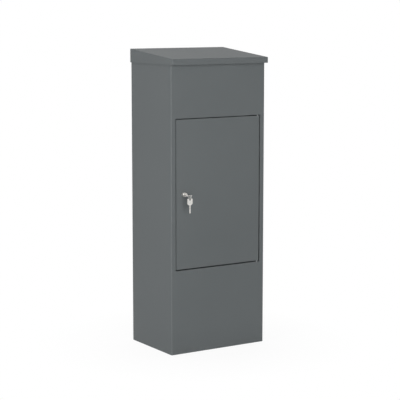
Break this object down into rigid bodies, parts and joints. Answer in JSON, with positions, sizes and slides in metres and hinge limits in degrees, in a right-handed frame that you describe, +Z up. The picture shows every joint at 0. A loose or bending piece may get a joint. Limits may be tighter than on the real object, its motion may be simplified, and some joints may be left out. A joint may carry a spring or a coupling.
{
  "type": "parcel box",
  "caption": "Free-standing sheet-steel parcel box with a sloping lift-up lid, an anti-theft drop tray and a flush lockable collection door, with the key in its lock.",
  "frame": {"origin": "middle of the cabinet's footprint, on the underside of the floor pan", "axes": "+Z up, +X to the right seen from the front, -Y out of the door"},
  "size_m": [0.373, 0.3068, 1],
  "materials": {
    "grey_coat": "fine powder coat",
    "zinc_plate": "zinc plated",
    "rivet_alloy": "satin",
    "chrome": "polished",
    "nickel": "nickel plated",
    "rubber": "matt",
    "nylon": "natural"
  },
  "bodies": {
    "cabinet": {"cabinet_wrap": "grey_coat", "back_panel": "grey_coat", "floor_pan": "grey_coat", "lid_hinge_fixed_leaf": "zinc_plate", "lid_hinge_pin": "zinc_plate", "lid_hinge_rivets": "rivet_alloy", "lid_buffers": "rubber", "door_buffers": "rubber", "upper_pivot_pin": "zinc_plate", "lower_pivot_pin": "zinc_plate"},
    "lid": {"lid_cap": "grey_coat", "lid_hinge_moving_leaf": "zinc_plate", "drop_tray": "grey_coat", "tray_studs": "zinc_plate", "tray_washers": "zinc_plate", "tray_nuts": "zinc_plate"},
    "door": {"door_pan": "grey_coat", "upper_pivot_bush": "nylon", "lower_pivot_bush": "nylon", "lock_housing": "chrome", "lock_washer": "zinc_plate", "lock_nut": "zinc_plate"},
    "lock_core": {"lock_plug": "chrome", "lock_cam": "zinc_plate", "cam_washer": "zinc_plate", "cam_screw": "zinc_plate"},
    "lock_key": {"key": "nickel"},
    "ring": {"key_ring": "nickel"},
    "hanging_key": {"spare_key": "nickel"}
  },
  "joints": [
    {"name": "lid_hinge", "type": "hinge", "parent": "cabinet", "child": "lid", "pos_m": [0, 0.126, 0.99582], "axis": [-1, 0, 0], "range_deg": [0, 77.5]},
    {"name": "door_hinge", "type": "hinge", "parent": "cabinet", "child": "door", "pos_m": [0.1579, -0.1258, 0.53075], "axis": [0, 0, 1], "range_deg": [0, 105]},
    {"name": "lock_turn", "type": "hinge", "parent": "door", "child": "lock_core", "pos_m": [-0.136, -0.13, 0.533], "axis": [0, 1, 0], "range_deg": [0, 90]},
    {"name": "key_pull", "type": "slide", "parent": "lock_core", "child": "lock_key", "axis": [0, -1, 0], "range_m": [0, 0.029]},
    {"name": "ring_swing", "type": "hinge", "parent": "lock_key", "child": "ring", "pos_m": [-0.136, -0.1684, 0.533], "axis": [-1, 0, 0], "range_deg": [-3, 60]},
    {"name": "spare_key_swing", "type": "hinge", "parent": "ring", "child": "hanging_key", "pos_m": [-0.136, -0.1684, 0.5219], "axis": [0, 1, 0], "range_deg": [-40, 40]}
  ]
}
